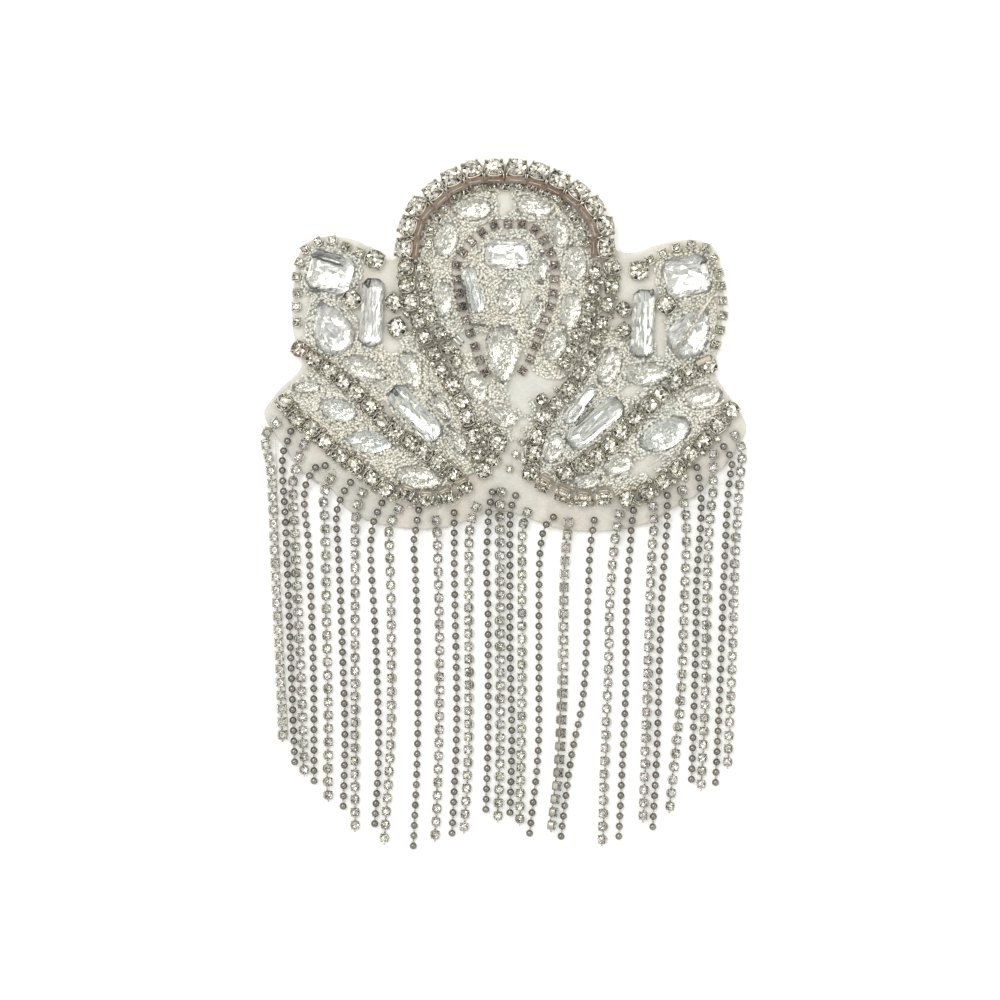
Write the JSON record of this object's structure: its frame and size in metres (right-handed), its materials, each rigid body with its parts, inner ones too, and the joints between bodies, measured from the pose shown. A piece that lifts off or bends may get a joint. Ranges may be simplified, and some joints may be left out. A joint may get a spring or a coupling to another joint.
{
  "type": "bullion epaulette",
  "caption": "Jewelled felt epaulette with faceted stones, claw-set stone rows and a hanging fringe of cup chains and ball chains.",
  "frame": {"origin": "centre of the felt badge on its back face", "axes": "+X to the badge's right as seen from the front, +Y towards the top of the badge, +Z out of its front; the fringe runs towards -Y"},
  "size_m": [0.1165, 0.166, 0.0068],
  "materials": {
    "felt": "matte white felt",
    "stone": "clear faceted stone with a foil back",
    "cups": "plated claw cup round a clear stone",
    "cup_chain": "silver cups with clear stones",
    "ball_chain": "dark nickel"
  },
  "bodies": {
    "root": {"felt_backing": "felt", "wing_octagon_left": "stone", "wing_drop_left": "stone", "wing_baguette_left": "stone", "wing_octagon_right": "stone", "wing_drop_right": "stone", "wing_baguette_right": "stone", "dome_petal_left": "stone", "dome_petal_right": "stone", "dome_side_oval_left": "stone", "dome_low_oval_left": "stone", "dome_small_oval_right": "stone", "dome_side_oval_right": "stone", "dome_low_oval_right": "stone", "dome_base_oval_right": "stone", "centre_cushion": "stone", "centre_oval": "stone", "centre_drop": "stone", "centre_bar": "stone", "centre_navette_upper": "stone", "centre_navette_lower": "stone", "scroll_marquise_left": "stone", "lobe_navette_left": "stone", "lobe_oval_left": "stone", "lobe_marquise_left": "stone", "scroll_oval_left": "stone", "scroll_baguette_left": "stone", "side_oval_left": "stone", "side_navette_left": "stone", "base_navette_left": "stone", "hem_marquise_left": "stone", "base_oval": "stone", "scroll_oval_right": "stone", "scroll_marquise_right": "stone", "scroll_bar_right": "stone", "scroll_baguette_right": "stone", "side_oval_right": "stone", "lobe_oval_right": "stone", "lobe_small_oval_right": "stone", "hem_oval_right": "stone", "hem_navette_right": "stone", "dome_cups": "cups", "wing_cups_left": "cups", "wing_cups_right": "cups", "scroll_cups_left": "cups", "scroll_cups_right": "cups", "hem_cups_left": "cups", "hem_cups_right": "cups", "side_cups_left": "cups", "side_cups_right": "cups", "accent_cups": "cups", "dome_ring_chain": "cup_chain", "centre_ring_chain": "cup_chain", "fringe_cups_left": "cup_chain", "fringe_cups_middle": "cup_chain", "fringe_cups_right": "cup_chain", "fringe_balls_left": "ball_chain", "fringe_balls_middle": "ball_chain", "fringe_balls_right": "ball_chain"}
  },
  "joints": []
}
